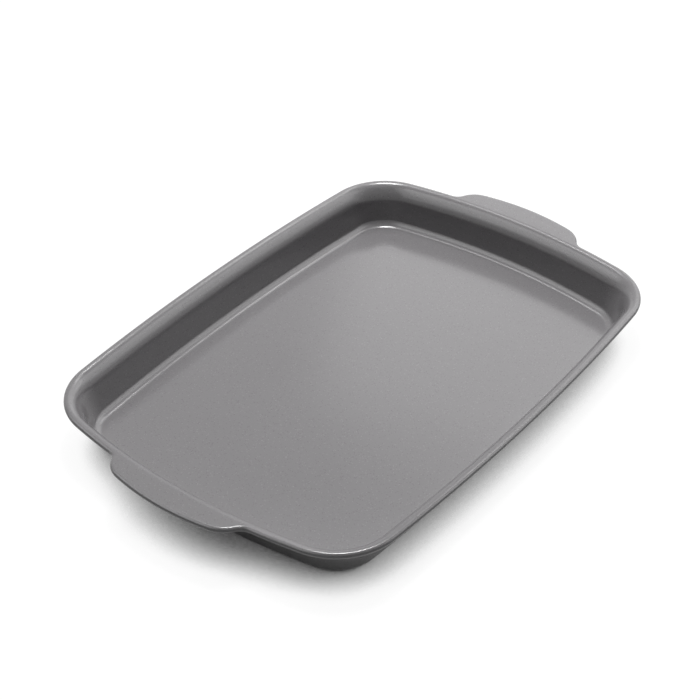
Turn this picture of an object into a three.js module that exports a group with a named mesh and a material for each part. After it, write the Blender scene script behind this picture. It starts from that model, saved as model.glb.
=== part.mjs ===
// Quarter sheet pan: a pressed and coated steel tray with gently bowed sides, a rolled lip,
// a handle tab at each short end and a wire inside the curl that runs round its whole edge.
// Millimetres, +Z up, +X along the long sides. The origin is on the table, under the pan's middle.

import * as THREE from 'three';

const radians = THREE.MathUtils.degToRad;

// Rim outline, measured over the curled edge and without the handles
const RIM_LENGTH = 336;
const RIM_WIDTH = 237.5;
const LONG_SIDE_RADIUS = 1547;
const SHORT_SIDE_RADIUS = 417;
const RIM_CORNER_RADIUS = 41.4;

// Section of the pressed sheet, with its radii on the cooking side
const SHEET_THICKNESS = 0.6;
const INSIDE_DEPTH = 27.3;
const FLOOR_FILLET_RADIUS = 5.6;
const WALL_DRAFT = radians(15);
const FLARE_RADIUS = 22;
const LIP_RADIUS = 3.65;
const LIP_INNER_SLOPE = radians(45);
const LIP_OUTER_SLOPE = radians(25);

// Wired edge: the curl closes round the wire and stops short of the lip
const WIRE_DIAMETER = 1.8;
const WIRE_CLEARANCE = 0.3;
const WIRE_END_GAP = 1;
const CURL_TURN = radians(270);

// Handle tabs: the lip drawn out flat and a little upwards, with the same curled edge
const HANDLE_REACH = 12.7;
const HANDLE_RISE = 1;
const HANDLE_WIDTH = 94.2;
const HANDLE_EDGE_RADIUS = 160;
const HANDLE_CORNER_RADIUS = 17.5;
const HANDLE_ROOT_RADIUS = 8.5;

// Facets along a quarter of the rim, across the section and round the wire
const HANDLE_EDGE_STEPS = 3;
const HANDLE_CORNER_STEPS = 4;
const HANDLE_ROOT_STEPS = 4;
const SHORT_SIDE_STEPS = 2;
const RIM_CORNER_STEPS = 7;
const LONG_SIDE_STEPS = 4;
const FILLET_STEPS = 4;
const FLARE_STEPS = 4;
const LIP_STEPS = 3;
const LIP_EDGE_STEPS = 2;
const CURL_STEPS = 7;
const WIRE_SIDES = 8;

// Points of an outline nearer than this are one
const SAME_POINT = 1e-6;

// Finishes
const COATING = { color: 0x7d7975, roughness: 0.35, metalness: 0 };
const BRIGHT_WIRE = { color: 0xa3a6a8, roughness: 0.35, metalness: 1 };

// The curl's outer radius follows from the wire that it holds
const CURL_RADIUS = WIRE_DIAMETER / 2 + WIRE_CLEARANCE + SHEET_THICKNESS;

// Centres of the curl and of the lip's roll, as distance out from the rim outline and height
const LIP_HEIGHT = SHEET_THICKNESS + INSIDE_DEPTH - LIP_RADIUS;
const CURL_HEIGHT = LIP_HEIGHT + (LIP_RADIUS - CURL_RADIUS) * Math.cos(LIP_OUTER_SLOPE);
const LIP_OFFSET = -CURL_RADIUS - (LIP_RADIUS - CURL_RADIUS) * Math.sin(LIP_OUTER_SLOPE);

// Slope of a handle's flat, at which it leaves the lip's roll and runs into the roll of its own edge
const HANDLE_SLOPE = Math.atan2(HANDLE_RISE, HANDLE_REACH);

// Arc centres of the bowed sides and of the rim's corner, in the quarter where x and y are positive
const LONG_SIDE_CENTRE = new THREE.Vector2(0, RIM_WIDTH / 2 - LONG_SIDE_RADIUS);
const SHORT_SIDE_CENTRE = new THREE.Vector2(RIM_LENGTH / 2 - SHORT_SIDE_RADIUS, 0);
const RIM_CORNER_CENTRE = circlesMeet(
  SHORT_SIDE_CENTRE, SHORT_SIDE_RADIUS - RIM_CORNER_RADIUS,
  LONG_SIDE_CENTRE, LONG_SIDE_RADIUS - RIM_CORNER_RADIUS,
);

// Arc centres of the handle's outer edge, of its rounded corner and of its root
const HANDLE_EDGE_CENTRE = new THREE.Vector2(RIM_LENGTH / 2 + HANDLE_REACH - HANDLE_EDGE_RADIUS, 0);
const HANDLE_CORNER_CENTRE = handleCornerCentre();
const HANDLE_ROOT_CENTRE = circlesMeet(
  SHORT_SIDE_CENTRE, SHORT_SIDE_RADIUS + HANDLE_ROOT_RADIUS,
  HANDLE_CORNER_CENTRE, HANDLE_CORNER_RADIUS + HANDLE_ROOT_RADIUS,
);

// The point at two given distances from two centres, on the left of the way from the first to the second.
function circlesMeet(first, firstRadius, second, secondRadius) {
  const way = second.clone().sub(first);
  const span = way.length();
  const along = (firstRadius ** 2 - secondRadius ** 2 + span ** 2) / (2 * span);
  const aside = Math.sqrt(firstRadius ** 2 - along ** 2);
  way.divideScalar(span);
  const left = new THREE.Vector2(-way.y, way.x);
  return first.clone().addScaledVector(way, along).addScaledVector(left, aside);
}

// The corner arc touches the handle's outer edge from inside and its full width from inside.
function handleCornerCentre() {
  const y = HANDLE_WIDTH / 2 - HANDLE_CORNER_RADIUS;
  const reach = HANDLE_EDGE_RADIUS - HANDLE_CORNER_RADIUS;
  return new THREE.Vector2(HANDLE_EDGE_CENTRE.x + Math.sqrt(reach ** 2 - y ** 2), y);
}

// The direction from one point of the plan to another, as an angle.
function bearing(from, to) {
  return Math.atan2(to.y - from.y, to.x - from.x);
}

// Points along an arc with the sheet's outward normals; on a hollow arc these face the arc's centre.
function arcStations(centre, radius, start, end, steps, hollow = false) {
  return Array.from({ length: steps }, (_, step) => {
    const angle = start + (end - start) * step / steps;
    const spoke = new THREE.Vector2(Math.cos(angle), Math.sin(angle));
    const point = centre.clone().addScaledVector(spoke, radius);
    return { point, normal: hollow ? spoke.negate() : spoke };
  });
}

// The point of the bowed short side, handle or not, that lies at the height y of the plan.
function shortSidePoint(y) {
  const x = SHORT_SIDE_CENTRE.x + Math.sqrt(SHORT_SIDE_RADIUS ** 2 - y ** 2);
  const point = new THREE.Vector2(x, y);
  const normal = point.clone().sub(SHORT_SIDE_CENTRE).normalize();
  return { point, normal };
}

// A station where the curled edge follows the rim itself.
function rimStation({ point, normal }) {
  return { rim: point, rimNormal: normal, edge: point, edgeNormal: normal };
}

// A station across a handle: the curled edge leaves the rim and runs round the tab.
function handleStation({ point, normal }) {
  const rim = shortSidePoint(point.y);
  return { rim: rim.point, rimNormal: rim.normal, edge: point, edgeNormal: normal };
}

// A station on a long side, at the place x along it.
function longSideStation(x) {
  const angle = Math.acos(x / LONG_SIDE_RADIUS);
  const [station] = arcStations(LONG_SIDE_CENTRE, LONG_SIDE_RADIUS, angle, angle, 1);
  return rimStation(station);
}

// Stations of one quarter, from the middle of a handle to the middle of a long side.
function quarterStations() {
  const edgeTurn = bearing(HANDLE_EDGE_CENTRE, HANDLE_CORNER_CENTRE);
  const rootTurn = bearing(HANDLE_CORNER_CENTRE, HANDLE_ROOT_CENTRE);
  const rootStart = rootTurn + Math.PI;
  const rootEnd = bearing(HANDLE_ROOT_CENTRE, SHORT_SIDE_CENTRE) + 2 * Math.PI;
  const sideStart = bearing(SHORT_SIDE_CENTRE, HANDLE_ROOT_CENTRE);
  const cornerStart = bearing(SHORT_SIDE_CENTRE, RIM_CORNER_CENTRE);
  const cornerEnd = bearing(LONG_SIDE_CENTRE, RIM_CORNER_CENTRE);
  const handle = [
    ...arcStations(HANDLE_EDGE_CENTRE, HANDLE_EDGE_RADIUS, 0, edgeTurn, HANDLE_EDGE_STEPS),
    ...arcStations(HANDLE_CORNER_CENTRE, HANDLE_CORNER_RADIUS, edgeTurn, rootTurn, HANDLE_CORNER_STEPS),
    ...arcStations(HANDLE_ROOT_CENTRE, HANDLE_ROOT_RADIUS, rootStart, rootEnd, HANDLE_ROOT_STEPS, true),
  ];
  const rim = [
    ...arcStations(SHORT_SIDE_CENTRE, SHORT_SIDE_RADIUS, sideStart, cornerStart, SHORT_SIDE_STEPS),
    ...arcStations(RIM_CORNER_CENTRE, RIM_CORNER_RADIUS, cornerStart, cornerEnd, RIM_CORNER_STEPS),
    ...arcStations(LONG_SIDE_CENTRE, LONG_SIDE_RADIUS, cornerEnd, Math.PI / 2, LONG_SIDE_STEPS),
  ];
  return [...handle.map(handleStation), ...rim.map(rimStation), longSideStation(0)];
}

// A station seen in the mirror: the signs say which way x and y turn.
function mirrored(station, xSign, ySign) {
  const turned = (v) => new THREE.Vector2(v.x * xSign, v.y * ySign);
  return {
    rim: turned(station.rim),
    rimNormal: turned(station.rimNormal),
    edge: turned(station.edge),
    edgeNormal: turned(station.edgeNormal),
  };
}

// Half of the rim, anticlockwise from the middle of one long side to the middle of the other.
function halfStations(xSign) {
  const quarter = quarterStations();
  const upper = quarter.map((station) => mirrored(station, xSign, xSign < 0 ? 1 : -1)).reverse();
  const lower = quarter.map((station) => mirrored(station, xSign, xSign < 0 ? -1 : 1));
  return [...upper, ...lower.slice(1)];
}

// A point of the section, out along the normal and up, with the sheet's normal on the cooking side.
function sectionPoint(place, normal, out, height, lean) {
  return {
    position: new THREE.Vector3(place.x + normal.x * out, place.y + normal.y * out, height),
    normal: new THREE.Vector3(normal.x * Math.sin(lean), normal.y * Math.sin(lean), Math.cos(lean)),
  };
}

// Points of an arc of the section, where lean is how far the sheet's normal has turned outwards.
// A hollow arc, such as the floor's fillet, has its centre on the cooking side.
function sectionArc(arc, steps, startLean, endLean) {
  const side = arc.hollow ? -1 : 1;
  return Array.from({ length: steps + 1 }, (_, step) => {
    const lean = startLean + (endLean - startLean) * step / steps;
    const out = arc.out + side * arc.radius * Math.sin(lean);
    const height = arc.height + side * arc.radius * Math.cos(lean);
    return sectionPoint(arc.place, arc.normal, out, height, lean);
  });
}

// Floor fillet, drafted wall and flare, which are the same all round the rim.
function wallSection(place, normal) {
  const wallLean = WALL_DRAFT - Math.PI / 2;
  const flareReach = FLARE_RADIUS - LIP_RADIUS;
  const flareOut = LIP_OFFSET + flareReach * Math.sin(LIP_INNER_SLOPE);
  const flareHeight = LIP_HEIGHT - flareReach * Math.cos(LIP_INNER_SLOPE);
  const filletHeight = SHEET_THICKNESS + FLOOR_FILLET_RADIUS;
  const wallTop = flareHeight + FLARE_RADIUS * Math.sin(WALL_DRAFT);
  const wallFoot = filletHeight - FLOOR_FILLET_RADIUS * Math.sin(WALL_DRAFT);
  const wallRun = (wallTop - wallFoot) * Math.tan(WALL_DRAFT);
  const filletOut = flareOut - (FLARE_RADIUS + FLOOR_FILLET_RADIUS) * Math.cos(WALL_DRAFT) - wallRun;
  const fillet = {
    place, normal, out: filletOut, height: filletHeight, radius: FLOOR_FILLET_RADIUS, hollow: true,
  };
  const flare = { place, normal, out: flareOut, height: flareHeight, radius: FLARE_RADIUS };
  return [
    ...sectionArc(fillet, FILLET_STEPS, 0, wallLean),
    ...sectionArc(flare, FLARE_STEPS, wallLean, -LIP_INNER_SLOPE).slice(0, -1),
  ];
}

// How far a handle has risen at a station: the tab climbs as it reaches out from the rim.
function handleLift({ rim, edge }) {
  return HANDLE_RISE * rim.distanceTo(edge) / HANDLE_REACH;
}

// The lip's roll, parted at its crown by the flat of a handle, and the curl under its outer half.
// Away from the handles the flat has no length, so that the two halves of the roll are one.
function edgeSection(station) {
  const lift = handleLift(station);
  const onRim = { place: station.rim, normal: station.rimNormal };
  const onEdge = { place: station.edge, normal: station.edgeNormal };
  const inner = { ...onRim, out: LIP_OFFSET, height: LIP_HEIGHT, radius: LIP_RADIUS };
  const outer = { ...onEdge, out: LIP_OFFSET, height: LIP_HEIGHT + lift, radius: LIP_RADIUS };
  const curl = { ...onEdge, out: -CURL_RADIUS, height: CURL_HEIGHT + lift, radius: CURL_RADIUS };
  return [
    ...sectionArc(inner, LIP_STEPS, -LIP_INNER_SLOPE, -HANDLE_SLOPE),
    ...sectionArc(outer, LIP_EDGE_STEPS, -HANDLE_SLOPE, LIP_OUTER_SLOPE),
    ...sectionArc(curl, CURL_STEPS, LIP_OUTER_SLOPE, CURL_TURN).slice(1),
  ];
}

// One outline of the sheet's section: the cooking side outwards, then the underside back.
function sheetOutline(station) {
  const cookingSide = [...wallSection(station.rim, station.rimNormal), ...edgeSection(station)];
  const above = cookingSide.map(({ position }) => position);
  const below = cookingSide.map(({ position, normal }) => {
    return position.clone().addScaledVector(normal, -SHEET_THICKNESS);
  });
  return [...above, ...below.reverse()];
}

// The outline of the wire's section, square to its path at the middle of the curl.
function wireOutline(station) {
  const turn = 2 * Math.PI / WIRE_SIDES;
  const onEdge = { place: station.edge, normal: station.edgeNormal };
  const height = CURL_HEIGHT + handleLift(station);
  const wire = { ...onEdge, out: -CURL_RADIUS, height, radius: WIRE_DIAMETER / 2 };
  return sectionArc(wire, WIRE_SIDES - 1, 0, 2 * Math.PI - turn).map(({ position }) => position);
}

// A mesh over outlines that follow each other, each with the same number of points.
// Neighbours in an outline that fall together share a corner, and faces without area are left out.
// Caps close the mesh with a fan of triangles round the middle of each given ring.
class Skin {
  constructor() {
    this.points = [];
    this.faces = [];
  }

  addRow(points) {
    return points.map((point, index) => {
      const same = index > 0 && point.distanceTo(points[index - 1]) < SAME_POINT;
      if (!same) {
        this.points.push(point);
      }
      return this.points.length - 1;
    });
  }

  addFace(...corners) {
    if (new Set(corners).size === corners.length) {
      this.faces.push(corners);
    }
  }

  addStrip(row, next, closed) {
    const count = closed ? row.length : row.length - 1;
    for (let index = 0; index < count; index += 1) {
      const after = (index + 1) % row.length;
      this.addFace(row[index], row[after], next[after]);
      this.addFace(row[index], next[after], next[index]);
    }
  }

  addCap(ring) {
    const middle = new THREE.Vector3();
    ring.forEach((index) => middle.add(this.points[index]));
    const [centre] = this.addRow([middle.divideScalar(ring.length)]);
    ring.forEach((index, place) => this.addFace(centre, index, ring[(place + 1) % ring.length]));
  }

  geometry() {
    const geometry = new THREE.BufferGeometry().setFromPoints(this.points);
    geometry.setIndex(this.faces.flat());
    geometry.computeVertexNormals();
    return geometry;
  }
}

// Pressed pan: the sheet's outline carried round the rim, with the floor closing it above and below.
function panBody() {
  const stations = [...halfStations(-1).slice(0, -1), ...halfStations(1).slice(0, -1)];
  const skin = new Skin();
  const rows = stations.map((station) => skin.addRow(sheetOutline(station)));
  rows.forEach((row, index) => skin.addStrip(row, rows[(index + 1) % rows.length], false));
  skin.addCap(rows.map((row) => row[0]));
  skin.addCap(rows.map((row) => row.at(-1)).reverse());
  return skin.geometry();
}

// Rim wire: one length bent round the edge, with its two ends facing each other on a long side.
function rimWire() {
  const bent = [...halfStations(-1).slice(1, -1), ...halfStations(1).slice(0, -1)];
  const end = longSideStation(WIRE_END_GAP / 2);
  const stations = [mirrored(end, -1, 1), ...bent, end];
  const skin = new Skin();
  const rows = stations.map((station) => skin.addRow(wireOutline(station)));
  rows.slice(1).forEach((row, index) => skin.addStrip(rows[index], row, true));
  skin.addCap([...rows[0]].reverse());
  skin.addCap(rows.at(-1));
  return skin.geometry();
}

// A named piece with its own finish.
function piece(name, geometry, finish) {
  const mesh = new THREE.Mesh(geometry, new THREE.MeshStandardMaterial(finish));
  mesh.name = name;
  return mesh;
}

const pan = new THREE.Group();
pan.name = 'quarter_sheet_pan';
pan.add(piece('pan_body', panBody(), COATING));
pan.add(piece('rim_wire', rimWire(), BRIGHT_WIRE));

export default pan;
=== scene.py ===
"""Quarter sheet pan: a pressed and coated steel tray with a wired edge, dressed for a studio photograph.

The pan's sheet and the wire in its edge follow a rule. Arcs give the plan of the rim and the section of the
sheet, and Geometry Nodes carry the section round the plan. Metres and radians, +Z up, in the frame of the
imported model: +X runs along the long sides and the origin is on the table, under the middle of the pan.
"""

from __future__ import annotations

import logging
import math
from dataclasses import dataclass
from enum import Enum
from typing import Any

import bpy
from mathutils import Matrix, Vector

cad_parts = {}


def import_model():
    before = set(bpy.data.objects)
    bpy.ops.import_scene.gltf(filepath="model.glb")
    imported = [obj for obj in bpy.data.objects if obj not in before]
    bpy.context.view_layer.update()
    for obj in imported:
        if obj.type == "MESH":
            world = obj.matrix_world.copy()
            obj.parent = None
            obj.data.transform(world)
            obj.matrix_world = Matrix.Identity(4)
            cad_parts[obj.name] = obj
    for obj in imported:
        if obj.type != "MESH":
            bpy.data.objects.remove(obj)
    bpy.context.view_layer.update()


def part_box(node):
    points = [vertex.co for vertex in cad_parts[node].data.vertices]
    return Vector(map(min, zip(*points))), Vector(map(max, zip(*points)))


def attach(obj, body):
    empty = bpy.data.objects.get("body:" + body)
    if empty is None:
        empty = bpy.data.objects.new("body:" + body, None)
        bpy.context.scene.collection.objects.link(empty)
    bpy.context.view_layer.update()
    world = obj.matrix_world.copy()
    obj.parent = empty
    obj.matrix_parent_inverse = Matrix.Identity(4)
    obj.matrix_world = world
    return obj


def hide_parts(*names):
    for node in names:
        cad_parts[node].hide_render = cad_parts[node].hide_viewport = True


LOG = logging.getLogger("quarter_sheet_pan")
BODY = "root"
LEAN = "lean"
PHOTO_SIDE = 700
SENSOR_WIDTH = 36.0


class Node(str, Enum):
    """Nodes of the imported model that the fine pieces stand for."""

    PAN_BODY = "pan_body"
    RIM_WIRE = "rim_wire"


class Slot(str, Enum):
    """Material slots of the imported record."""

    COATING = "coating"
    WIRE = "wire"


class Graph:
    """A node tree with short calls that add nodes and join them."""

    def __init__(self, tree: bpy.types.NodeTree) -> None:
        """Keeps the tree that the nodes go into."""
        self.tree = tree

    def add(self, kind: str, inputs: dict[str | int, Any] | None = None, **settings: Any) -> bpy.types.Node:
        """Adds a node, sets its properties and fills its inputs.

        Args:
            kind: The node's class name.
            inputs: A value or an output socket for each input, by the input's name or place.
            settings: Properties of the node.

        Returns:
            The new node.
        """
        node = self.tree.nodes.new(kind)
        for name, value in settings.items():
            setattr(node, name, value)
        for key, value in (inputs or {}).items():
            if isinstance(value, bpy.types.NodeSocket):
                self.tree.links.new(value, node.inputs[key])
            else:
                node.inputs[key].default_value = value
        return node

    def math(self, operation: str, *values: Any) -> bpy.types.NodeSocket:
        """Adds a sum on numbers.

        Args:
            operation: The name of the sum.
            values: Numbers or output sockets.

        Returns:
            The socket with the answer.
        """
        return self.add("ShaderNodeMath", dict(enumerate(values)), operation=operation).outputs[0]

    def vector(self, operation: str, *values: Any) -> bpy.types.NodeSocket:
        """Adds a sum on vectors.

        Args:
            operation: The name of the sum.
            values: Vectors or output sockets; a scale is given by its socket's name in a dictionary.

        Returns:
            The socket with the answer.
        """
        inputs: dict[str | int, Any] = {}
        for place, value in enumerate(values):
            inputs.update(value if isinstance(value, dict) else {place: value})
        return self.add("ShaderNodeVectorMath", inputs, operation=operation).outputs[0]

    def scaled(self, vector: Any, factor: Any) -> bpy.types.NodeSocket:
        """Adds a vector's product with a number."""
        return self.vector("SCALE", vector, {"Scale": factor})

    def mixed(self, share: bpy.types.NodeSocket, first: Any, second: Any) -> bpy.types.NodeSocket:
        """Adds a mix of two colours.

        Args:
            share: The second colour's share.
            first: The first colour, as three numbers or a socket.
            second: The second colour, as three numbers or a socket.

        Returns:
            The socket with the mixed colour.
        """
        ends = [(*end, 1.0) if isinstance(end, tuple) else end for end in (first, second)]
        inputs = {"Factor": share, "A": ends[0], "B": ends[1]}
        return self.add("ShaderNodeMix", inputs, data_type="RGBA").outputs["Result"]

    def noise(self, place: bpy.types.NodeSocket, scale: float, detail: float) -> bpy.types.NodeSocket:
        """Adds a cloudy number from 0 to 1.

        Args:
            place: The coordinates.
            scale: How many clouds lie side by side in a metre.
            detail: How finely they are broken up.

        Returns:
            The socket with the number.
        """
        inputs = {"Vector": place, "Scale": scale, "Detail": detail}
        return self.add("ShaderNodeTexNoise", inputs).outputs["Fac"]

    def seen(self) -> bpy.types.NodeSocket:
        """Adds 1 for a ray from the camera, straight or by gloss or glass, and 0 for light on its way."""
        rays = self.add("ShaderNodeLightPath").outputs
        straight = self.math("MAXIMUM", rays["Is Camera Ray"], rays["Is Glossy Ray"])
        return self.math("MAXIMUM", straight, rays["Is Transmission Ray"])

    def ranged(
        self, value: bpy.types.NodeSocket, given: tuple[float, float], wanted: tuple[float, float]
    ) -> bpy.types.NodeSocket:
        """Adds a change of range, held at both ends.

        Args:
            value: The socket with the number.
            given: The number's own range.
            wanted: The range to bring it to.

        Returns:
            The socket with the new number.
        """
        names = ("From Min", "From Max", "To Min", "To Max")
        inputs = {"Value": value, **dict(zip(names, (*given, *wanted)))}
        return self.add("ShaderNodeMapRange", inputs).outputs["Result"]


@dataclass(frozen=True)
class PanSizes:
    """Driving sizes of the pan, with the section's radii on the cooking side."""

    length: float
    rim_width: float
    long_side_radius: float = 1.547
    short_side_radius: float = 0.417
    rim_corner_radius: float = 0.0414
    sheet_thickness: float = 0.0006
    curl_height: float = 0.025927
    floor_fillet_radius: float = 0.0056
    wall_draft: float = math.radians(15)
    flare_radius: float = 0.022
    lip_radius: float = 0.007
    lip_slope: float = math.radians(52.26)
    wire_diameter: float = 0.0018
    wire_clearance: float = 0.0003
    wire_end_gap: float = 0.001
    curl_turn: float = math.radians(270)
    handle_reach: float = 0.0127
    handle_rise: float = 0.001
    handle_width: float = 0.0942
    handle_edge_radius: float = 0.160
    handle_corner_radius: float = 0.0175
    handle_root_radius: float = 0.0085

    @classmethod
    def of_node(cls, node: Node) -> PanSizes:
        """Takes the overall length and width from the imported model.

        Args:
            node: The node of the pressed sheet.

        Returns:
            The sizes of the pan.
        """
        low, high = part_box(node.value)
        return cls(length=high.x - low.x, rim_width=high.y - low.y)

    @property
    def rim_length(self) -> float:
        """Length over the curled edge, without the handles."""
        return self.length - 2 * self.handle_reach

    @property
    def curl_radius(self) -> float:
        """Outer radius of the curl, which follows from the wire that it holds."""
        return self.wire_diameter / 2 + self.wire_clearance + self.sheet_thickness

    @property
    def handle_slope(self) -> float:
        """Slope of a handle's flat, at which the lip's roll passes into the curl."""
        return math.atan2(self.handle_rise, self.handle_reach)

    @property
    def lip_height(self) -> float:
        """Height of the centre of the lip's roll."""
        return self.curl_height - (self.lip_radius - self.curl_radius) * math.cos(self.handle_slope)

    @property
    def lip_offset(self) -> float:
        """Distance of the centre of the lip's roll out from the rim's outline."""
        return -self.curl_radius + (self.lip_radius - self.curl_radius) * math.sin(self.handle_slope)


@dataclass(frozen=True)
class Arc:
    """An arc of the plan."""

    centre: Vector
    radius: float

    def point(self, angle: float) -> Vector:
        """Gives the arc's point at an angle."""
        return self.centre + self.radius * Vector((math.cos(angle), math.sin(angle)))

    def towards(self, place: Vector) -> float:
        """Gives the angle at which a place lies from the arc's centre."""
        way = place - self.centre
        return math.atan2(way.y, way.x)

    def meet(self, other: Arc) -> Vector:
        """Finds where this circle meets another, on the left of the way to the other's centre.

        Args:
            other: The other circle.

        Returns:
            The meeting point.
        """
        way = other.centre - self.centre
        span = way.length
        along = (self.radius**2 - other.radius**2 + span**2) / (2 * span)
        aside = math.sqrt(self.radius**2 - along**2)
        way /= span
        return self.centre + along * way + aside * Vector((-way.y, way.x))

    def grown(self, more: float) -> Arc:
        """Gives the circle with the same centre and a larger radius."""
        return Arc(self.centre, self.radius + more)


@dataclass(frozen=True)
class Station:
    """A place on the way round the pan: on the rim's outline, and on the curled edge beside it."""

    rim: Vector
    rim_normal: Vector
    edge: Vector
    edge_normal: Vector

    def mirrored(self, x_sign: int, y_sign: int) -> Station:
        """Gives the station on another side of the middle planes.

        Args:
            x_sign: -1 to turn x over.
            y_sign: -1 to turn y over.

        Returns:
            The mirrored station.
        """
        sides = (self.rim, self.rim_normal, self.edge, self.edge_normal)
        return Station(*(Vector((side.x * x_sign, side.y * y_sign)) for side in sides))


@dataclass(frozen=True)
class RimPlan:
    """The plan of the rim and the handles, as stations on a chain of arcs that touch."""

    sizes: PanSizes
    handle_edge_steps: int = 18
    handle_corner_steps: int = 12
    handle_root_steps: int = 10
    short_side_steps: int = 8
    rim_corner_steps: int = 26
    long_side_steps: int = 14

    @property
    def long_side(self) -> Arc:
        """Arc of the bowed long side, where y is positive."""
        radius = self.sizes.long_side_radius
        return Arc(Vector((0, self.sizes.rim_width / 2 - radius)), radius)

    @property
    def short_side(self) -> Arc:
        """Arc of the bowed short side, where x is positive."""
        radius = self.sizes.short_side_radius
        return Arc(Vector((self.sizes.rim_length / 2 - radius, 0)), radius)

    @property
    def rim_corner(self) -> Arc:
        """Arc that rounds the corner between the two sides."""
        radius = self.sizes.rim_corner_radius
        return Arc(self.short_side.grown(-radius).meet(self.long_side.grown(-radius)), radius)

    @property
    def handle_edge(self) -> Arc:
        """Arc of the handle's outer edge."""
        radius = self.sizes.handle_edge_radius
        return Arc(Vector((self.sizes.length / 2 - radius, 0)), radius)

    @property
    def handle_corner(self) -> Arc:
        """Arc that rounds the handle's corner, inside its outer edge and its full width."""
        radius = self.sizes.handle_corner_radius
        y = self.sizes.handle_width / 2 - radius
        reach = self.sizes.handle_edge_radius - radius
        return Arc(Vector((self.handle_edge.centre.x + math.sqrt(reach**2 - y**2), y)), radius)

    @property
    def handle_root(self) -> Arc:
        """Hollow arc by which the handle grows out of the short side."""
        radius = self.sizes.handle_root_radius
        return Arc(self.short_side.grown(radius).meet(self.handle_corner.grown(radius)), radius)

    @staticmethod
    def on_rim(place: Vector, normal: Vector) -> Station:
        """Gives a station where the curled edge follows the rim itself."""
        return Station(place, normal, place, normal)

    def on_handle(self, place: Vector, normal: Vector) -> Station:
        """Gives a station across a handle, where the curled edge has left the rim.

        Args:
            place: The point on the handle's edge.
            normal: The edge's outward direction there.

        Returns:
            The station, with the rim's point that lies straight inwards.
        """
        side = self.short_side
        rim = side.point(math.asin(place.y / side.radius))
        return Station(rim, (rim - side.centre).normalized(), place, normal)

    def on_long_side(self, x: float) -> Station:
        """Gives the station at a place along the long side."""
        side = self.long_side
        place = side.point(math.acos(x / side.radius))
        return self.on_rim(place, (place - side.centre).normalized())

    def quarter(self) -> list[Station]:
        """Walks one quarter, from the middle of a handle to the middle of a long side.

        Returns:
            The stations of the quarter.
        """
        edge, corner, root = self.handle_edge, self.handle_corner, self.handle_root
        side, bend, long_side = self.short_side, self.rim_corner, self.long_side
        edge_end = edge.towards(corner.centre)
        corner_end = corner.towards(root.centre)
        root_end = root.towards(side.centre) % math.tau
        side_end = side.towards(bend.centre)
        bend_end = long_side.towards(bend.centre)
        handle = [
            (edge, 0.0, edge_end, self.handle_edge_steps, 1),
            (corner, edge_end, corner_end, self.handle_corner_steps, 1),
            (root, corner_end + math.pi, root_end, self.handle_root_steps, -1),
        ]
        rim = [
            (side, side.towards(root.centre), side_end, self.short_side_steps, 1),
            (bend, side_end, bend_end, self.rim_corner_steps, 1),
            (long_side, bend_end, math.pi / 2, self.long_side_steps, 1),
        ]
        stations = [self.on_handle(*mark) for arc in handle for mark in self.marks(*arc)]
        stations += [self.on_rim(*mark) for arc in rim for mark in self.marks(*arc)]
        return [*stations, self.on_long_side(0.0)]

    @staticmethod
    def marks(arc: Arc, start: float, end: float, steps: int, side: int) -> list[tuple[Vector, Vector]]:
        """Walks an arc, without its last point.

        Args:
            arc: The arc.
            start: The angle of its first point.
            end: The angle of its last point.
            steps: How many steps it is walked in.
            side: 1 where the outward direction leaves the arc's centre, -1 on a hollow arc.

        Returns:
            Each point with its outward direction.
        """
        angles = [start + (end - start) * step / steps for step in range(steps)]
        places = [arc.point(angle) for angle in angles]
        return [(place, side * (place - arc.centre).normalized()) for place in places]

    def half(self, x_sign: int) -> list[Station]:
        """Walks half of the rim anticlockwise, from the middle of one long side to the other.

        Args:
            x_sign: The side of the pan that the half lies on.

        Returns:
            The stations of the half.
        """
        quarter = self.quarter()
        first = [station.mirrored(x_sign, -x_sign) for station in reversed(quarter)]
        second = [station.mirrored(x_sign, x_sign) for station in quarter]
        return [*first, *second[1:]]

    def ring(self) -> list[Station]:
        """Walks the whole rim, without coming back to its first station."""
        return [*self.half(-1)[:-1], *self.half(1)[:-1]]

    def lift(self, station: Station) -> float:
        """Gives how far a handle has risen at a station, as the tab reaches out from the rim."""
        return self.sizes.handle_rise * (station.edge - station.rim).length / self.sizes.handle_reach


@dataclass(frozen=True)
class SectionPoint:
    """A point of the sheet's cooking side.

    Attributes:
        out: Distance out from the outline.
        height: Height over the table.
        lean: How far the sheet's normal has turned outwards.
        share: 0 where the outline is the rim's, 1 where it is the curled edge's.
        spread: 0 at the middle of the floor, 1 from the floor's edge outwards.
    """

    out: float
    height: float
    lean: float
    share: float = 0.0
    spread: float = 1.0


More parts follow.
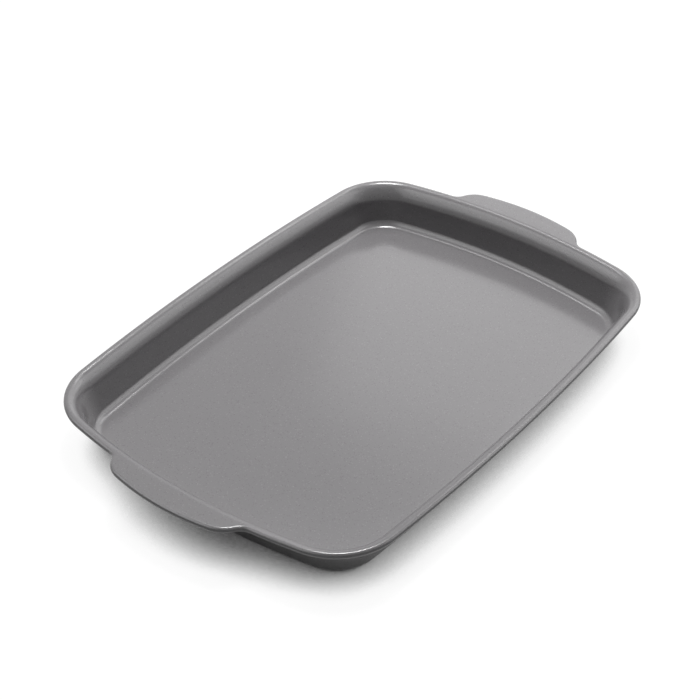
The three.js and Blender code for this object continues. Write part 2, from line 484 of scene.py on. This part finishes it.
@dataclass(frozen=True)
class SheetSection:
    """The section of the sheet: floor, fillet, drafted wall, flare, lip, flat of a handle and curl."""

    sizes: PanSizes
    floor_spreads: tuple[float, ...] = (0.0, 0.12, 0.4, 0.7, 0.94)
    floor_rim: float = 0.0015
    fillet_steps: int = 16
    flare_steps: int = 10
    lip_steps: int = 12
    flat_steps: int = 5
    curl_steps: int = 22

    @staticmethod
    def arc(
        centre: tuple[float, float],
        radius: float,
        leans: tuple[float, float],
        steps: int,
        share: float = 0.0,
    ) -> list[SectionPoint]:
        """Walks an arc of the section.

        Args:
            centre: The arc's centre, out from the outline and up.
            radius: The radius, negative where the centre is on the cooking side.
            leans: How far the sheet's normal leans out at the start and at the end.
            steps: How many steps the arc is walked in.
            share: The outline that the points belong to.

        Returns:
            The points of the arc.
        """
        points = []
        for step in range(steps + 1):
            lean = leans[0] + (leans[1] - leans[0]) * step / steps
            out = centre[0] + radius * math.sin(lean)
            points.append(SectionPoint(out, centre[1] + radius * math.cos(lean), lean, share))
        return points

    def wall(self) -> list[SectionPoint]:
        """Walks the floor's edge, the fillet, the drafted wall and the flare.

        Returns:
            The points from the floor up to the lip.
        """
        sizes = self.sizes
        draft, slope = sizes.wall_draft, sizes.lip_slope
        reach = sizes.flare_radius - sizes.lip_radius
        flare = (sizes.lip_offset + reach * math.sin(slope), sizes.lip_height - reach * math.cos(slope))
        fillet_height = sizes.sheet_thickness + sizes.floor_fillet_radius
        wall_top = flare[1] + sizes.flare_radius * math.sin(draft)
        wall_foot = fillet_height - sizes.floor_fillet_radius * math.sin(draft)
        radii = sizes.flare_radius + sizes.floor_fillet_radius
        fillet_out = flare[0] - radii * math.cos(draft) - (wall_top - wall_foot) * math.tan(draft)
        fillet = (fillet_out, fillet_height)
        lean = draft - math.pi / 2
        floor_edge = SectionPoint(fillet_out - self.floor_rim, sizes.sheet_thickness, 0.0)
        return [
            floor_edge,
            *self.arc(fillet, -sizes.floor_fillet_radius, (0.0, lean), self.fillet_steps),
            *self.arc(flare, sizes.flare_radius, (lean, -slope), self.flare_steps)[:-1],
        ]

    def edge(self) -> list[SectionPoint]:
        """Walks the lip's roll, the flat of a handle, which is let in at the roll's end, and the curl.

        Returns:
            The points from the lip to the sheet's cut edge.
        """
        sizes = self.sizes
        crown = -sizes.handle_slope
        lip = (sizes.lip_offset, sizes.lip_height)
        curl = (-sizes.curl_radius, sizes.curl_height)
        rolled = self.arc(lip, sizes.lip_radius, (-sizes.lip_slope, crown), self.lip_steps)
        turned = self.arc(curl, sizes.curl_radius, (crown, sizes.curl_turn), self.curl_steps, 1.0)
        shares = [step / self.flat_steps for step in range(1, self.flat_steps)]
        top = rolled[-1]
        flat = [SectionPoint(top.out, top.height, top.lean, share) for share in shares]
        return [*rolled, *flat, *turned]

    def points(self) -> list[SectionPoint]:
        """Walks the whole section, from the middle of the floor to the sheet's cut edge.

        Returns:
            The points of the cooking side.
        """
        wall = self.wall()
        start = wall[0]
        floor = [SectionPoint(start.out, start.height, 0.0, 0.0, spread) for spread in self.floor_spreads]
        return [*floor, *wall, *self.edge()]


def tree_with_inputs(name: str, inputs: dict[str, str]) -> bpy.types.NodeTree:
    """Makes an empty Geometry Nodes tree with named inputs.

    Args:
        name: The tree's name.
        inputs: The socket type of each input, by the input's name.

    Returns:
        The tree, with one geometry coming out.
    """
    tree = bpy.data.node_groups.new(name, "GeometryNodeTree")
    for label, kind in inputs.items():
        tree.interface.new_socket(name=label, in_out="INPUT", socket_type=kind)
    tree.interface.new_socket(name="Geometry", in_out="OUTPUT", socket_type="NodeSocketGeometry")
    return tree


def grown_piece(
    name: str, seed: bpy.types.Object, tree: bpy.types.NodeTree, values: dict[str, Any]
) -> bpy.types.Object:
    """Runs a tree on a seed object and keeps the result as a plain mesh.

    Args:
        name: The name of the new piece.
        seed: The object that the tree starts from, which is removed.
        tree: The Geometry Nodes tree.
        values: A value for each input of the tree that isn't its geometry.

    Returns:
        The new piece, at the origin.
    """
    modifier = seed.modifiers.new(tree.name, "NODES")
    modifier.node_group = tree
    for socket in tree.interface.items_tree:
        if socket.in_out == "INPUT" and socket.name in values:
            modifier[socket.identifier] = values[socket.name]
    depsgraph = bpy.context.evaluated_depsgraph_get()
    mesh = bpy.data.meshes.new_from_object(
        seed.evaluated_get(depsgraph), preserve_all_data_layers=True, depsgraph=depsgraph
    )
    mesh.name = name
    seed.modifiers.remove(modifier)
    bpy.data.objects.remove(seed)
    piece = bpy.data.objects.new(name, mesh)
    bpy.context.scene.collection.objects.link(piece)
    return piece


def seed_object(
    name: str,
    places: list[Vector],
    numbers: dict[str, list[float]],
    vectors: dict[str, list[Vector]],
    chained: bool,
) -> bpy.types.Object:
    """Makes an object of bare points that carry values.

    Args:
        name: The object's name.
        places: The points.
        numbers: A number for each point, by the value's name.
        vectors: A vector for each point, by the value's name.
        chained: Whether an edge joins each point to the next.

    Returns:
        The object.
    """
    mesh = bpy.data.meshes.new(name)
    edges = [(index, index + 1) for index in range(len(places) - 1)] if chained else []
    mesh.from_pydata([tuple(place) for place in places], edges, [])
    for label, values in numbers.items():
        mesh.attributes.new(label, "FLOAT", "POINT").data.foreach_set("value", values)
    for label, values in vectors.items():
        flat = [number for value in values for number in value]
        mesh.attributes.new(label, "FLOAT_VECTOR", "POINT").data.foreach_set("vector", flat)
    seed = bpy.data.objects.new(name, mesh)
    bpy.context.scene.collection.objects.link(seed)
    return seed


def empty_material(name: str) -> tuple[bpy.types.Material, Graph, bpy.types.NodeSocket]:
    """Makes a material with no shader yet.

    Args:
        name: The material's name.

    Returns:
        The material, its nodes, and the socket with the piece's own coordinates.
    """
    material = bpy.data.materials.new(name)
    material.use_nodes = True
    material.node_tree.nodes.clear()
    graph = Graph(material.node_tree)
    return material, graph, graph.add("ShaderNodeTexCoord").outputs["Object"]


@dataclass(frozen=True)
class CoatingFinish:
    """Satin grey ceramic coating on steel.

    Attributes:
        colour: Colour of the coating.
        cloud: Colour of its faint clouds.
        pale_fleck: Colour of the fine mica flecks.
        dark_fleck: Colour of the fine dark flecks.
        rubbed: Colour of the edge, where hands and racks have rubbed it.
        clouds_per_metre: How many clouds lie side by side in a metre.
        cloud_detail: How finely the clouds are broken up.
        haze_detail: How finely the roughness is broken up.
        flecks_per_metre: How many flecks could lie side by side in a metre.
        fleck_size: Radius of a fleck, as a share of the room it has.
        fleck_share: Share of those places where a fleck shows.
        rub_start: Lean of the sheet at which the rubbed edge starts.
        rub_full: Lean of the sheet at which it is rubbed most.
        peel_per_metre: How many bumps of the sprayed skin lie side by side in a metre.
        peel_detail: How finely those bumps are broken up.
        peel_depth: Depth of those bumps.
        roughness: Roughness of the skin.
        roughness_spread: How far the roughness varies both ways.
        ior: Refractive index of the glaze.
    """

    colour: tuple[float, float, float] = (0.185, 0.179, 0.185)
    cloud: tuple[float, float, float] = (0.194, 0.188, 0.194)
    pale_fleck: tuple[float, float, float] = (0.245, 0.236, 0.243)
    dark_fleck: tuple[float, float, float] = (0.14, 0.134, 0.139)
    rubbed: tuple[float, float, float] = (0.222, 0.213, 0.221)
    clouds_per_metre: float = 14.0
    cloud_detail: float = 4.0
    haze_detail: float = 6.0
    flecks_per_metre: float = 1400.0
    fleck_size: float = 0.4
    fleck_share: float = 0.1
    rub_start: float = math.radians(8)
    rub_full: float = math.radians(60)
    peel_per_metre: float = 900.0
    peel_detail: float = 2.0
    peel_depth: float = 0.000005
    roughness: float = 0.17
    roughness_spread: float = 0.03
    ior: float = 1.57

    def material(self) -> bpy.types.Material:
        """Makes the coating's material.

        Returns:
            The material.
        """
        material, graph, place = empty_material("grey_ceramic_coating")
        shader = graph.add(
            "ShaderNodeBsdfPrincipled",
            {
                "Base Color": self.coloured(graph, place),
                "Roughness": self.roughened(graph, place),
                "Normal": self.peeled(graph, place),
                "IOR": self.ior,
            },
        )
        graph.add("ShaderNodeOutputMaterial", {"Surface": shader.outputs["BSDF"]})
        return material

    def coloured(self, graph: Graph, place: bpy.types.NodeSocket) -> bpy.types.NodeSocket:
        """Adds the colour: a clouded grey with pale and dark flecks, paler where the edge is rubbed.

        Args:
            graph: The material's nodes.
            place: The coordinates.

        Returns:
            The socket with the colour.
        """
        clouds = graph.noise(place, self.clouds_per_metre, self.cloud_detail)
        colour = graph.mixed(clouds, self.colour, self.cloud)
        lean = graph.add("ShaderNodeAttribute", attribute_name=LEAN)
        rubbed = graph.ranged(lean.outputs["Fac"], (self.rub_start, self.rub_full), (0.0, 1.0))
        worn = graph.math("MULTIPLY", rubbed, clouds)
        colour = graph.mixed(worn, colour, self.rubbed)
        cells = graph.add("ShaderNodeTexVoronoi", {"Vector": place, "Scale": self.flecks_per_metre})
        chance = graph.add("ShaderNodeSeparateColor", {"Color": cells.outputs["Color"]}).outputs
        near = graph.math("LESS_THAN", cells.outputs["Distance"], self.fleck_size)
        for channel, fleck in (("Red", self.pale_fleck), ("Green", self.dark_fleck)):
            drawn = graph.math("LESS_THAN", chance[channel], self.fleck_share)
            colour = graph.mixed(graph.math("MULTIPLY", drawn, near), colour, fleck)
        return colour

    def roughened(self, graph: Graph, place: bpy.types.NodeSocket) -> bpy.types.NodeSocket:
        """Adds the roughness, which varies over the skin.

        Args:
            graph: The material's nodes.
            place: The coordinates.

        Returns:
            The socket with the roughness.
        """
        haze = graph.noise(place, self.clouds_per_metre, self.haze_detail)
        low, high = self.roughness - self.roughness_spread, self.roughness + self.roughness_spread
        return graph.ranged(haze, (0.0, 1.0), (low, high))

    def peeled(self, graph: Graph, place: bpy.types.NodeSocket) -> bpy.types.NodeSocket:
        """Adds the orange-peel skin.

        Args:
            graph: The material's nodes.
            place: The coordinates.

        Returns:
            The socket with the bumped normal.
        """
        peel = graph.noise(place, self.peel_per_metre, self.peel_detail)
        bump = graph.add("ShaderNodeBump", {"Height": peel, "Distance": self.peel_depth})
        return bump.outputs["Normal"]


@dataclass(frozen=True)
class WireFinish:
    """Drawn steel wire, a little dull, with fine marks from the die.

    Attributes:
        colour: Colour of the bright steel.
        dull: Colour of the dull steel.
        patches_per_metre: How many dull patches lie side by side in a metre.
        patch_detail: How finely the patches are broken up.
        marks_per_metre: How many die marks lie side by side in a metre.
        mark_detail: How finely the die marks are broken up.
        mark_depth: Depth of the die marks.
        roughness: Roughness of the bright steel.
        dull_roughness: Roughness of the dull steel.
    """

    colour: tuple[float, float, float] = (0.5, 0.51, 0.52)
    dull: tuple[float, float, float] = (0.33, 0.33, 0.335)
    patches_per_metre: float = 160.0
    patch_detail: float = 5.0
    marks_per_metre: float = 4000.0
    mark_detail: float = 2.0
    mark_depth: float = 0.00001
    roughness: float = 0.26
    dull_roughness: float = 0.42

    def material(self) -> bpy.types.Material:
        """Makes the wire's material.

        Returns:
            The material.
        """
        material, graph, place = empty_material("drawn_steel")
        dull = graph.noise(place, self.patches_per_metre, self.patch_detail)
        marks = graph.noise(place, self.marks_per_metre, self.mark_detail)
        bump = graph.add("ShaderNodeBump", {"Height": marks, "Distance": self.mark_depth})
        shader = graph.add(
            "ShaderNodeBsdfPrincipled",
            {
                "Base Color": graph.mixed(dull, self.colour, self.dull),
                "Roughness": graph.ranged(dull, (0.0, 1.0), (self.roughness, self.dull_roughness)),
                "Normal": bump.outputs["Normal"],
                "Metallic": 1.0,
            },
        )
        graph.add("ShaderNodeOutputMaterial", {"Surface": shader.outputs["BSDF"]})
        return material


@dataclass(frozen=True)
class PressedSheet:
    """The pan itself: one sheet pressed to its section, with its edge curled."""

    plan: RimPlan
    section: SheetSection
    finish: CoatingFinish
    same_point: float = 0.00001
    sharp_angle: float = math.radians(50)

    def build(self) -> bpy.types.Object:
        """Carries the section round the plan.

        Returns:
            The pan's piece, dressed in its coating.
        """
        stations = self.plan.ring()
        points = self.section.points()
        seed = seed_object(
            "plan",
            [station.rim.to_3d() for station in stations],
            {"lift": [self.plan.lift(station) for station in stations]},
            {
                "rim_normal": [station.rim_normal.to_3d() for station in stations],
                "edge": [station.edge.to_3d() for station in stations],
                "edge_normal": [station.edge_normal.to_3d() for station in stations],
            },
            chained=False,
        )
        section = seed_object(
            "section",
            [Vector((point.out, 0.0, point.height)) for point in points],
            {label: [getattr(point, label) for point in points] for label in (LEAN, "share", "spread")},
            {},
            chained=False,
        )
        piece = grown_piece(
            "pan_sheet",
            seed,
            self.tree(),
            {
                "Section": section,
                "Sheet Thickness": self.plan.sizes.sheet_thickness,
                "Same Point": self.same_point,
                "Sharp Angle": self.sharp_angle,
                "Finish": self.finish.material(),
            },
        )
        bpy.data.objects.remove(section)
        return piece

    def tree(self) -> bpy.types.NodeTree:
        """Builds the rule of the sheet: a grid of stations by section points, set in place.

        Returns:
            The Geometry Nodes tree.
        """
        tree = tree_with_inputs(
            "Pressed Sheet",
            {
                "Plan": "NodeSocketGeometry",
                "Section": "NodeSocketObject",
                "Sheet Thickness": "NodeSocketFloat",
                "Same Point": "NodeSocketFloat",
                "Sharp Angle": "NodeSocketFloat",
                "Finish": "NodeSocketMaterial",
            },
        )
        graph = Graph(tree)
        given = graph.add("NodeGroupInput").outputs
        plan = given["Plan"]
        section = graph.add("GeometryNodeObjectInfo", {"Object": given["Section"]}).outputs["Geometry"]
        around = graph.add("GeometryNodeAttributeDomainSize", {"Geometry": plan}).outputs["Point Count"]
        across = graph.add("GeometryNodeAttributeDomainSize", {"Geometry": section}).outputs["Point Count"]
        rows = graph.math("MULTIPLY", across, 2.0)
        grid = graph.add(
            "GeometryNodeMeshGrid", {"Vertices X": graph.math("ADD", around, 1.0), "Vertices Y": rows}
        ).outputs["Mesh"]

        index = graph.add("GeometryNodeInputIndex").outputs["Index"]
        column = graph.math("FLOOR", graph.math("DIVIDE", graph.math("ADD", index, 0.5), rows))
        row = graph.math("SUBTRACT", index, graph.math("MULTIPLY", column, rows))
        station = graph.math("FLOORED_MODULO", column, around)
        below = graph.math("GREATER_THAN", row, graph.math("SUBTRACT", across, 0.5))
        last = graph.math("SUBTRACT", rows, 1.0)
        folded = graph.math("MINIMUM", row, graph.math("SUBTRACT", last, row))

        def sampled(
            source: bpy.types.NodeSocket, at: bpy.types.NodeSocket, label: str, kind: str
        ) -> bpy.types.NodeSocket:
            """Reads a value that a point of the plan or of the section carries."""
            value = graph.add("GeometryNodeInputNamedAttribute", {"Name": label}, data_type=kind)
            inputs = {"Geometry": source, "Value": value.outputs["Attribute"], "Index": at}
            return graph.add("GeometryNodeSampleIndex", inputs, data_type=kind).outputs["Value"]

        lean = sampled(section, folded, LEAN, "FLOAT")
        share = sampled(section, folded, "share", "FLOAT")
        spread = sampled(section, folded, "spread", "FLOAT")
        profile = sampled(section, folded, "position", "FLOAT_VECTOR")
        inwards = graph.math("MULTIPLY", below, given["Sheet Thickness"])
        profile = graph.add("ShaderNodeSeparateXYZ", {"Vector": profile}).outputs
        aside = graph.math("MULTIPLY", inwards, graph.math("SINE", lean))
        out = graph.math("SUBTRACT", profile["X"], aside)
        down = graph.math("MULTIPLY", inwards, graph.math("COSINE", lean))
        height = graph.math("SUBTRACT", profile["Z"], down)

        def pushed(place: str, normal: str) -> bpy.types.NodeSocket:
            """Moves a point of an outline out to its place in the section."""
            start = sampled(plan, station, place, "FLOAT_VECTOR")
            way = sampled(plan, station, normal, "FLOAT_VECTOR")
            return graph.vector("ADD", start, graph.scaled(way, out))

        on_rim = pushed("position", "rim_normal")
        on_edge = pushed("edge", "edge_normal")
        moved = graph.scaled(graph.vector("SUBTRACT", on_edge, on_rim), share)
        level = graph.scaled(graph.vector("ADD", on_rim, moved), spread)
        lift = graph.math("MULTIPLY", sampled(plan, station, "lift", "FLOAT"), share)
        raised = graph.add("ShaderNodeCombineXYZ", {"Z": graph.math("ADD", height, lift)}).outputs["Vector"]

        mesh = graph.add(
            "GeometryNodeSetPosition", {"Geometry": grid, "Position": graph.vector("ADD", level, raised)}
        ).outputs["Geometry"]
        mesh = graph.add(
            "GeometryNodeStoreNamedAttribute",
            {"Geometry": mesh, "Name": LEAN, "Value": lean},
            data_type="FLOAT",
        ).outputs["Geometry"]
        mesh = graph.add(
            "GeometryNodeMergeByDistance", {"Geometry": mesh, "Distance": given["Same Point"]}
        ).outputs["Geometry"]
        # Columns that run round the pan and rows that run across it leave the faces looking into the sheet.
        mesh = graph.add("GeometryNodeFlipFaces", {"Mesh": mesh}).outputs["Mesh"]
        mesh = graph.add(
            "GeometryNodeSetShadeSmooth", {"Geometry": mesh}, domain="FACE"
        ).outputs["Geometry"]
        bend = graph.add("GeometryNodeInputMeshEdgeAngle").outputs["Unsigned Angle"]
        sharp = graph.math("GREATER_THAN", bend, given["Sharp Angle"])
        mesh = graph.add(
            "GeometryNodeSetShadeSmooth",
            {"Geometry": mesh, "Selection": sharp, "Shade Smooth": False},
            domain="EDGE",
        ).outputs["Geometry"]
        mesh = graph.add("GeometryNodeRealizeInstances", {"Geometry": mesh}).outputs["Geometry"]
        mesh = graph.add(
            "GeometryNodeSetMaterial", {"Geometry": mesh, "Material": given["Finish"]}
        ).outputs["Geometry"]
        graph.add("NodeGroupOutput", {"Geometry": mesh})
        return tree


@dataclass(frozen=True)
class RimWire:
    """The wire inside the curl, bent from one length, with its ends facing each other on a long side."""

    plan: RimPlan
    finish: WireFinish
    sides: int = 16

    def path(self) -> list[Vector]:
        """Walks the middle of the curl from one end of the wire to the other.

        Returns:
            The points of the wire's path.
        """
        sizes = self.plan.sizes
        end = self.plan.on_long_side(sizes.wire_end_gap / 2)
        bent = [*self.plan.half(-1)[1:-1], *self.plan.half(1)[:-1]]
        places = []
        for station in [end.mirrored(-1, 1), *bent, end]:
            level = station.edge - station.edge_normal * sizes.curl_radius
            places.append(Vector((*level, sizes.curl_height + self.plan.lift(station))))
        return places

    def build(self) -> bpy.types.Object:
        """Sweeps the wire along its path.

        Returns:
            The wire's piece, dressed in steel.
        """
        values = {
            "Wire Radius": self.plan.sizes.wire_diameter / 2,
            "Sides": self.sides,
            "Finish": self.finish.material(),
        }
        return grown_piece("edge_wire", seed_object("path", self.path(), {}, {}, True), self.tree(), values)

    def tree(self) -> bpy.types.NodeTree:
        """Builds the rule of the wire: a circle swept along the path.

        Returns:
            The Geometry Nodes tree.
        """
        tree = tree_with_inputs(
            "Rim Wire",
            {
                "Path": "NodeSocketGeometry",
                "Wire Radius": "NodeSocketFloat",
                "Sides": "NodeSocketInt",
                "Finish": "NodeSocketMaterial",
            },
        )
        graph = Graph(tree)
        given = graph.add("NodeGroupInput").outputs
        curve = graph.add("GeometryNodeMeshToCurve", {"Mesh": given["Path"]}).outputs["Curve"]
        circle = graph.add(
            "GeometryNodeCurvePrimitiveCircle",
            {"Resolution": given["Sides"], "Radius": given["Wire Radius"]},
        ).outputs["Curve"]
        mesh = graph.add(
            "GeometryNodeCurveToMesh", {"Curve": curve, "Profile Curve": circle, "Fill Caps": True}
        ).outputs["Mesh"]
        mesh = graph.add("GeometryNodeSetShadeSmooth", {"Geometry": mesh}).outputs["Geometry"]
        mesh = graph.add("GeometryNodeRealizeInstances", {"Geometry": mesh}).outputs["Geometry"]
        mesh = graph.add(
            "GeometryNodeSetMaterial", {"Geometry": mesh, "Material": given["Finish"]}
        ).outputs["Geometry"]
        graph.add("NodeGroupOutput", {"Geometry": mesh})
        return tree


@dataclass(frozen=True)
class SheetPan:
    """The whole pan: the pressed sheet and the wire in its edge."""

    sizes: PanSizes

    def build(self) -> list[bpy.types.Object]:
        """Builds both pieces and sets each on its body, for its node.

        Returns:
            The pieces.
        """
        plan = RimPlan(self.sizes)
        sheet = PressedSheet(plan, SheetSection(self.sizes), CoatingFinish()).build()
        wire = RimWire(plan, WireFinish()).build()
        self.join(sheet, Node.PAN_BODY, Slot.COATING)
        self.join(wire, Node.RIM_WIRE, Slot.WIRE)
        return [sheet, wire]

    @staticmethod
    def join(piece: bpy.types.Object, node: Node, slot: Slot) -> None:
        """Puts a piece on the pan's body.

        Args:
            piece: The piece.
            node: The node that it stands for.
            slot: The material slot of its finish; not used.
        """
        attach(piece, BODY)
        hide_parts(node.value)


@dataclass(frozen=True)
class PaperFinish:
    """White paper under the pan: white where it is seen, with a painted contact shadow near the pan, and
    duller where it throws light back on the pan.

    Attributes:
        bounced: How much light it throws back.
        shown: How much of the lamps' light shows on it.
        glow: Its own white where it is seen and nothing stands near it; the painted shadow dims it near the
            pan.
        painted_shadow_azimuth: Direction that the open sky of the painted shadow leans to, anticlockwise
            from +X.
        painted_shadow_elevation: Height of the middle of that open sky, as an angle.
        painted_shadow_reach: How far off the pan the painted shadow still darkens it.
        painted_shadow_dark: Share of open sky over it up to which the painted shadow is black.
        painted_shadow_white: Share of open sky over it from which it is white, without painted shadow.
    """

    bounced: float = 0.2
    shown: float = 0.1
    glow: float = 0.96
    painted_shadow_azimuth: float = math.radians(35.5)
    painted_shadow_elevation: float = math.radians(55)
    painted_shadow_reach: float = 0.07
    painted_shadow_dark: float = 0.12
    painted_shadow_white: float = 0.47

    def material(self) -> bpy.types.Material:
        """Makes the paper's material.

        Returns:
            The material.
        """
        material, graph, _ = empty_material("white_paper")
        seen = graph.seen()
        level = graph.ranged(seen, (0.0, 1.0), (self.bounced, self.shown))
        lit = graph.add("ShaderNodeBsdfDiffuse", {"Color": level}).outputs["BSDF"]
        # Painted contact shadow: the paper's seen white is an emission, dimmed by ambient occlusion round a
        # normal leaned toward the lamps behind the pan, so the shade near the pan is painted and also shows
        # in the pan's gloss.
        flat = math.cos(self.painted_shadow_elevation)
        sky = graph.add(
            "ShaderNodeCombineXYZ",
            {
                "X": flat * math.cos(self.painted_shadow_azimuth),
                "Y": flat * math.sin(self.painted_shadow_azimuth),
                "Z": math.sin(self.painted_shadow_elevation),
            },
        )
        painted_shadow_sky = graph.add(
            "ShaderNodeAmbientOcclusion",
            {"Distance": self.painted_shadow_reach, "Normal": sky.outputs["Vector"]},
        )
        contact = (self.painted_shadow_dark, self.painted_shadow_white)
        white = graph.ranged(painted_shadow_sky.outputs["AO"], contact, (0.0, self.glow))
        strength = graph.math("MULTIPLY", white, seen)
        glow = graph.add("ShaderNodeEmission", {"Strength": strength}).outputs["Emission"]
        shader = graph.add("ShaderNodeAddShader", {0: lit, 1: glow})
        graph.add("ShaderNodeOutputMaterial", {"Surface": shader.outputs["Shader"]})
        return material


@dataclass(frozen=True)
class Softbox:
    """A square or oblong lamp that faces the pan.

    Attributes:
        name: The lamp's name.
        azimuth: Direction from the pan, anticlockwise from +X.
        elevation: Height over the table, as an angle.
        distance: Distance from the pan.
        width: Width of the lamp.
        height: Height of the lamp.
        radiance: Brightness of its face, where 1 is white.
        lights: Whether it lights what is dull, or only shows in gloss.
        shows: Whether it shows in gloss, or only lights what is dull.
    """

    name: str
    azimuth: float
    elevation: float
    distance: float
    width: float
    height: float
    radiance: float
    lights: bool = True
    shows: bool = True

    def build(self) -> bpy.types.Object:
        """Makes the lamp.

        Returns:
            The lamp's object.
        """
        lamp = bpy.data.lights.new(self.name, "AREA")
        lamp.shape = "RECTANGLE"
        lamp.size = self.width
        lamp.size_y = self.height
        lamp.energy = self.radiance * math.pi * self.width * self.height
        light = bpy.data.objects.new(self.name, lamp)
        flat = math.cos(self.elevation)
        rise = math.sin(self.elevation)
        away = Vector((flat * math.cos(self.azimuth), flat * math.sin(self.azimuth), rise))
        light.location = away * self.distance
        light.rotation_euler = away.to_track_quat("Z", "Y").to_euler()
        light.visible_camera = False
        light.visible_diffuse = self.lights
        light.visible_glossy = self.shows
        bpy.context.scene.collection.objects.link(light)
        return light


@dataclass(frozen=True)
class PhotoView:
    """The photograph's camera: its direction from the rim's middle, and the pixel where that falls."""

    middle: Vector
    azimuth: float = math.radians(-52.45)
    elevation: float = math.radians(37.81)
    roll: float = math.radians(0.233)
    distance: float = 0.9755
    focal_pixels: float = 1634.7
    middle_pixel: tuple[float, float] = (363.96, 342.65)

    def build(self) -> bpy.types.Object:
        """Makes the camera and sets it as the scene's own.

        Returns:
            The camera's object.
        """
        lens = bpy.data.cameras.new("photo_view")
        lens.sensor_fit = "HORIZONTAL"
        lens.sensor_width = SENSOR_WIDTH
        lens.lens = self.focal_pixels * SENSOR_WIDTH / PHOTO_SIDE
        flat = math.cos(self.elevation)
        rise = math.sin(self.elevation)
        back = Vector((math.sin(self.azimuth) * flat, -math.cos(self.azimuth) * flat, rise))
        level = Vector((math.cos(self.azimuth), math.sin(self.azimuth), 0.0))
        turn = Matrix.Rotation(self.roll, 3, back)
        right = turn @ level
        up = turn @ back.cross(level)
        aside, down = (place - PHOTO_SIDE / 2 for place in self.middle_pixel)
        scale = self.distance / self.focal_pixels
        place = self.middle + back * self.distance - right * aside * scale + up * down * scale
        camera = bpy.data.objects.new("photo_view", lens)
        camera.matrix_world = Matrix.Translation(place) @ Matrix((right, up, back)).transposed().to_4x4()
        bpy.context.scene.collection.objects.link(camera)
        bpy.context.scene.camera = camera
        return camera


@dataclass(frozen=True)
class Studio:
    """White paper, lamps behind the pan, panels that show in its gloss, and the photograph's camera."""

    sizes: PanSizes
    paper_side: float = 8.0
    paper_gap: float = 0.0002
    ambient: float = 0.01
    lamps: tuple[Softbox, ...] = (
        Softbox("rear_key", math.radians(35.5), math.radians(66), 1.15, 0.23, 0.23, 38.0),
        Softbox("rear_fill", math.radians(38), math.radians(61), 1.3, 0.7, 0.7, 7.6, shows=False),
        Softbox("back_softbox", math.radians(8), math.radians(31), 1.6, 1.5, 0.8, 1.2),
        Softbox("left_strip", math.radians(12), math.radians(50.5), 1.6, 0.5, 0.16, 5.0, lights=False),
        Softbox("right_strip", math.radians(58), math.radians(55), 1.6, 0.4, 0.16, 4.0, lights=False),
        Softbox("left_panel", math.radians(-40), math.radians(34), 1.6, 1.2, 1.0, 1.1, lights=False),
        Softbox("left_wing", math.radians(-42), math.radians(34), 1.6, 2.2, 1.3, 0.65, lights=False),
        Softbox("right_panel", math.radians(136), math.radians(42), 1.6, 1.2, 1.0, 1.0, lights=False),
        Softbox("right_wing", math.radians(140), math.radians(42), 1.6, 2.2, 1.3, 1.1, lights=False),
    )

    def build(self) -> None:
        """Lays the paper and sets the light and the camera."""
        self.paper()
        self.world()
        for lamp in self.lamps:
            lamp.build()
        middle = Vector((0.0, 0.0, self.sizes.curl_height))
        PhotoView(middle).build()
        bpy.context.scene.view_settings.view_transform = "Standard"

    def paper(self) -> None:
        """Lays the paper just under the pan."""
        half = self.paper_side / 2
        plan = [(-half, -half), (half, -half), (half, half), (-half, half)]
        mesh = bpy.data.meshes.new("paper")
        mesh.from_pydata([(x, y, -self.paper_gap) for x, y in plan], [], [(0, 1, 2, 3)])
        mesh.materials.append(PaperFinish().material())
        paper = bpy.data.objects.new("paper", mesh)
        bpy.context.scene.collection.objects.link(paper)

    def world(self) -> None:
        """Sets a dim even room, which is white where it is seen."""
        world = bpy.data.worlds.new("room")
        world.use_nodes = True
        world.node_tree.nodes.clear()
        graph = Graph(world.node_tree)
        level = graph.ranged(graph.seen(), (0.0, 1.0), (self.ambient, 1.0))
        shader = graph.add("ShaderNodeBackground", {"Color": (1.0, 1.0, 1.0, 1.0), "Strength": level})
        graph.add("ShaderNodeOutputWorld", {"Surface": shader.outputs["Background"]})
        bpy.context.scene.world = world


def main() -> None:
    """Builds the pan in its frame, then the studio."""
    logging.basicConfig(level=logging.INFO, format="%(name)s: %(message)s")
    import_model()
    sizes = PanSizes.of_node(Node.PAN_BODY)
    for piece in SheetPan(sizes).build():
        triangles = sum(len(face.vertices) - 2 for face in piece.data.polygons)
        LOG.info("%s: %d triangles", piece.name, triangles)
    Studio(sizes).build()


if __name__ == "__main__":
    main()
